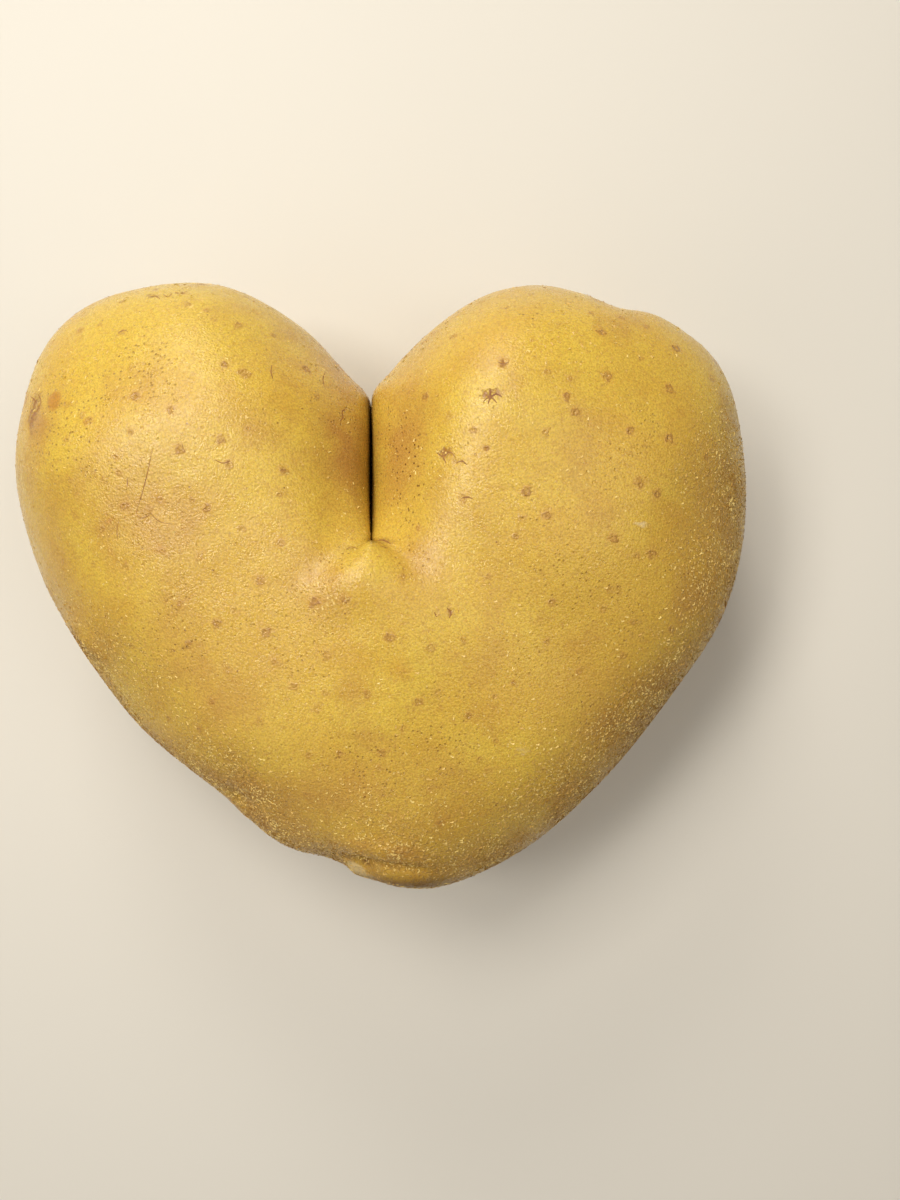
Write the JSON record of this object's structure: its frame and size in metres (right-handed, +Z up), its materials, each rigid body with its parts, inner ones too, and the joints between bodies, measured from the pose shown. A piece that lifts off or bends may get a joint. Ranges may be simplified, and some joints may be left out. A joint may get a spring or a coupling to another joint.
{
  "type": "potato",
  "caption": "Heart-shaped potato with two rounded lobes, a deep cleft and a blunt tip, lying on its back.",
  "frame": {"origin": "middle of the plan outline, on the surface that the potato lies on", "axes": "+X to the right across both lobes, +Y from the blunt tip to the tops of the lobes, +Z up from the resting surface to the face with the open cleft"},
  "size_m": [0.141, 0.1178, 0.0605],
  "materials": {
    "skin": "satin"
  },
  "bodies": {
    "root": {"potato": "skin"}
  },
  "joints": []
}
